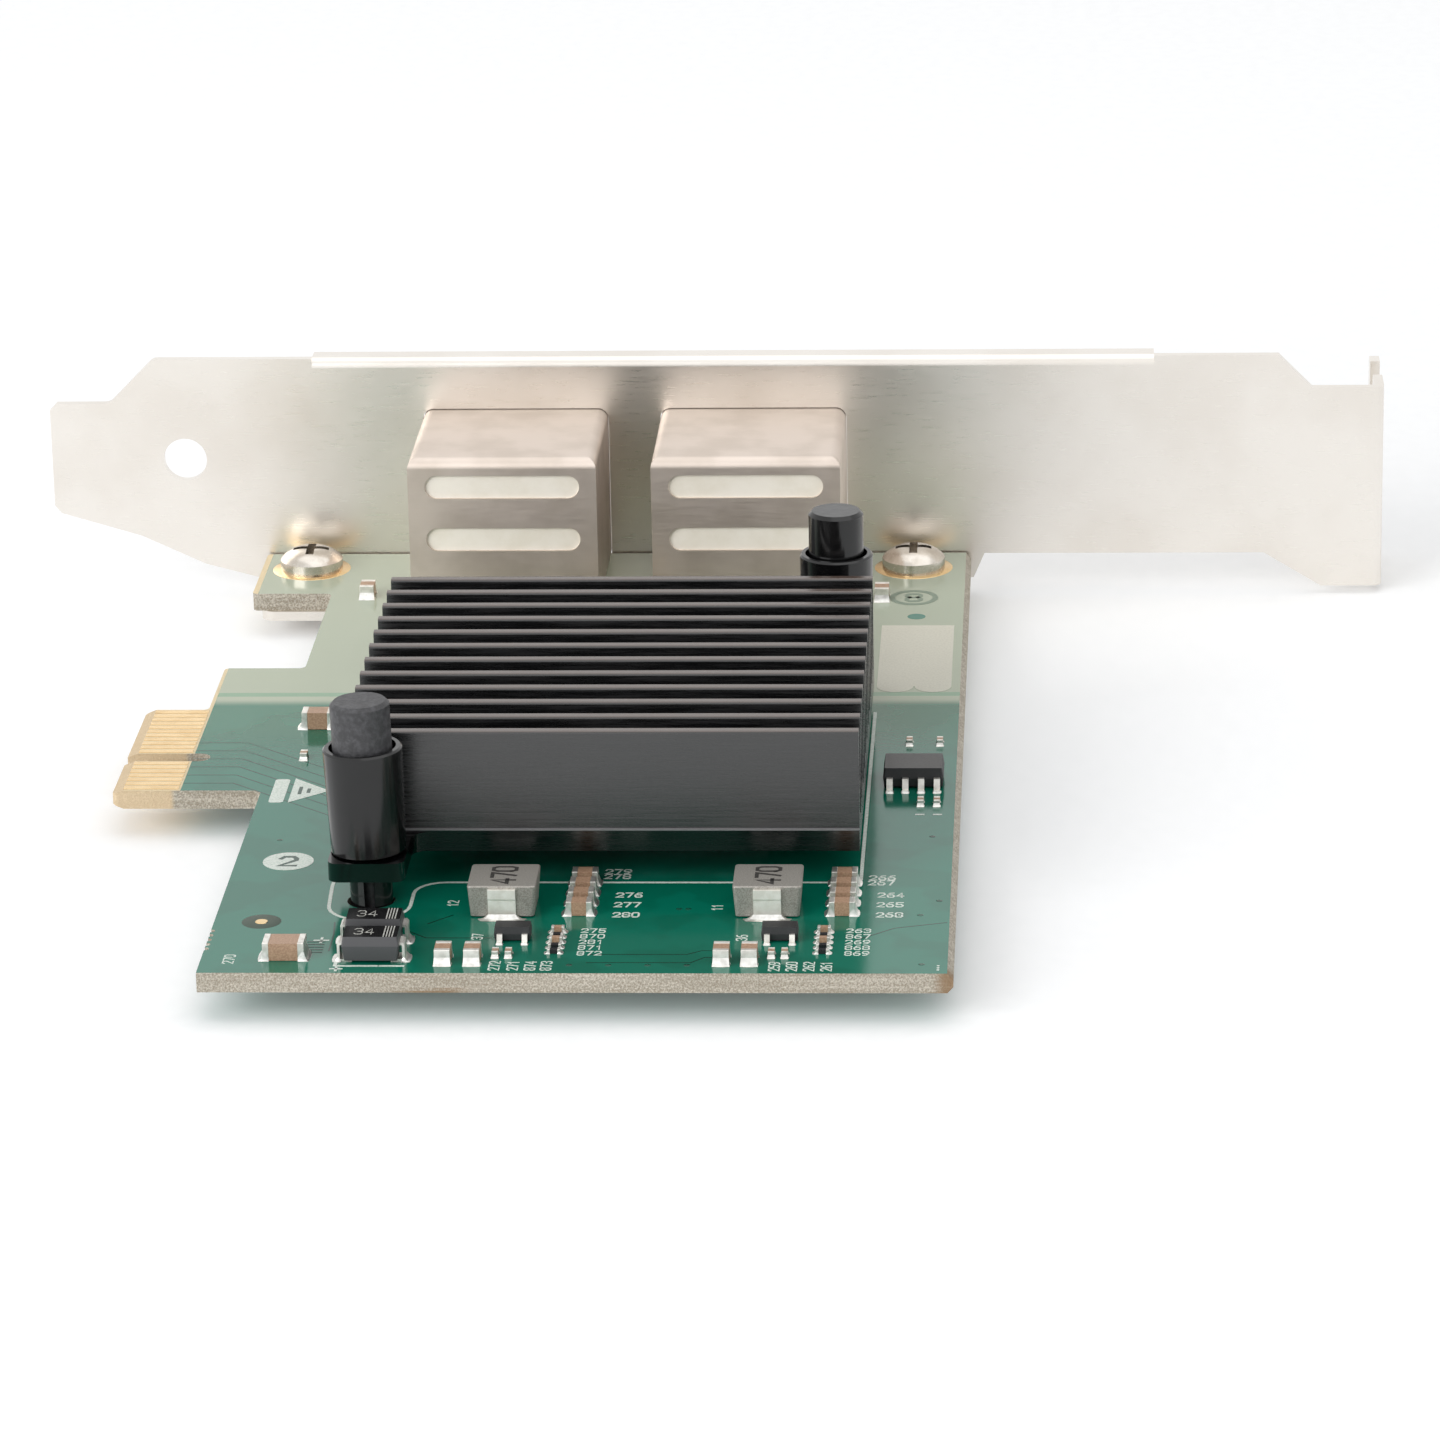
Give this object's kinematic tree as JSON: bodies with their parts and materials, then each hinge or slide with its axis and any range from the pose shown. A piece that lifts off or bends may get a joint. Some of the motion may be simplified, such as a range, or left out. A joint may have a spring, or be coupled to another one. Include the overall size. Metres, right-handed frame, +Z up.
{
  "type": "network interface card",
  "caption": "Dual-port network interface card: green board with contact tongue, finned black heat sink on push pins, shielded jacks and a full-height steel bracket.",
  "frame": {"origin": "middle of the card's footprint, on the surface it lies on", "axes": "+X along the bracket from its tongue to its flange, +Y from the board's front edge to the bracket, +Z up from the component side"},
  "size_m": [0.12, 0.1164, 0.0223],
  "materials": {
    "board_laminate": "green solder mask over glass-epoxy laminate",
    "contact_gold": "gold plated",
    "bracket_steel": "satin nickel plated",
    "screw_steel": "nickel plated",
    "anodised_black": "black anodised",
    "chip_mould": "moulded epoxy",
    "thermal_silicone": "soft silicone",
    "pin_nylon": "glossy black nylon",
    "plunger_nylon": "matte black nylon",
    "spring_steel": "drawn wire",
    "shield_nickel": "nickel plated sheet",
    "jack_black": "moulded black",
    "jack_ivory": "moulded ivory",
    "lamp_green": "tinted lens",
    "lamp_amber": "tinted lens",
    "powder_grey": "pressed iron powder",
    "tinned_copper": "tinned",
    "ceramic_brown": "fired ceramic",
    "resistor_black": "glazed black",
    "crystal_ceramic": "fired ceramic",
    "crystal_steel": "nickel-gold lid"
  },
  "bodies": {
    "root": {"activity_lamps": "lamp_amber", "bracket": "bracket_steel", "bracket_screws": "screw_steel", "bulk_capacitor": "ceramic_brown", "capacitor_ends": "tinned_copper", "circuit_board": "board_laminate", "controller_chip": "chip_mould", "crystal_base": "crystal_ceramic", "crystal_lid": "crystal_steel", "diode_leads": "tinned_copper", "edge_contacts": "contact_gold", "heat_sink": "anodised_black", "inductor_clips": "tinned_copper", "inductor_left": "powder_grey", "inductor_right": "powder_grey", "input_capacitors": "ceramic_brown", "jack_contacts_left": "contact_gold", "jack_contacts_right": "contact_gold", "jack_housing_left": "jack_black", "jack_housing_right": "jack_black", "jack_insert_left": "jack_ivory", "jack_insert_right": "jack_ivory", "jack_shield_left": "shield_nickel", "jack_shield_right": "shield_nickel", "link_lamps": "lamp_green", "magnetics_leads": "tinned_copper", "magnetics_module_left": "chip_mould", "magnetics_module_right": "chip_mould", "memory_chip": "chip_mould", "memory_leads": "tinned_copper", "output_capacitors": "ceramic_brown", "push_pin_plunger_front": "plunger_nylon", "push_pin_plunger_rear": "plunger_nylon", "push_pin_sleeve_front": "pin_nylon", "push_pin_sleeve_rear": "pin_nylon", "push_pin_spring_front": "spring_steel", "push_pin_spring_rear": "spring_steel", "rectifier_diode_front": "chip_mould", "rectifier_diode_rear": "chip_mould", "regulator_leads": "tinned_copper", "regulator_left": "chip_mould", "regulator_right": "chip_mould", "resistor_ends": "tinned_copper", "resistors": "resistor_black", "side_capacitors": "ceramic_brown", "small_capacitors": "ceramic_brown", "thermal_pad": "thermal_silicone"}
  },
  "joints": []
}
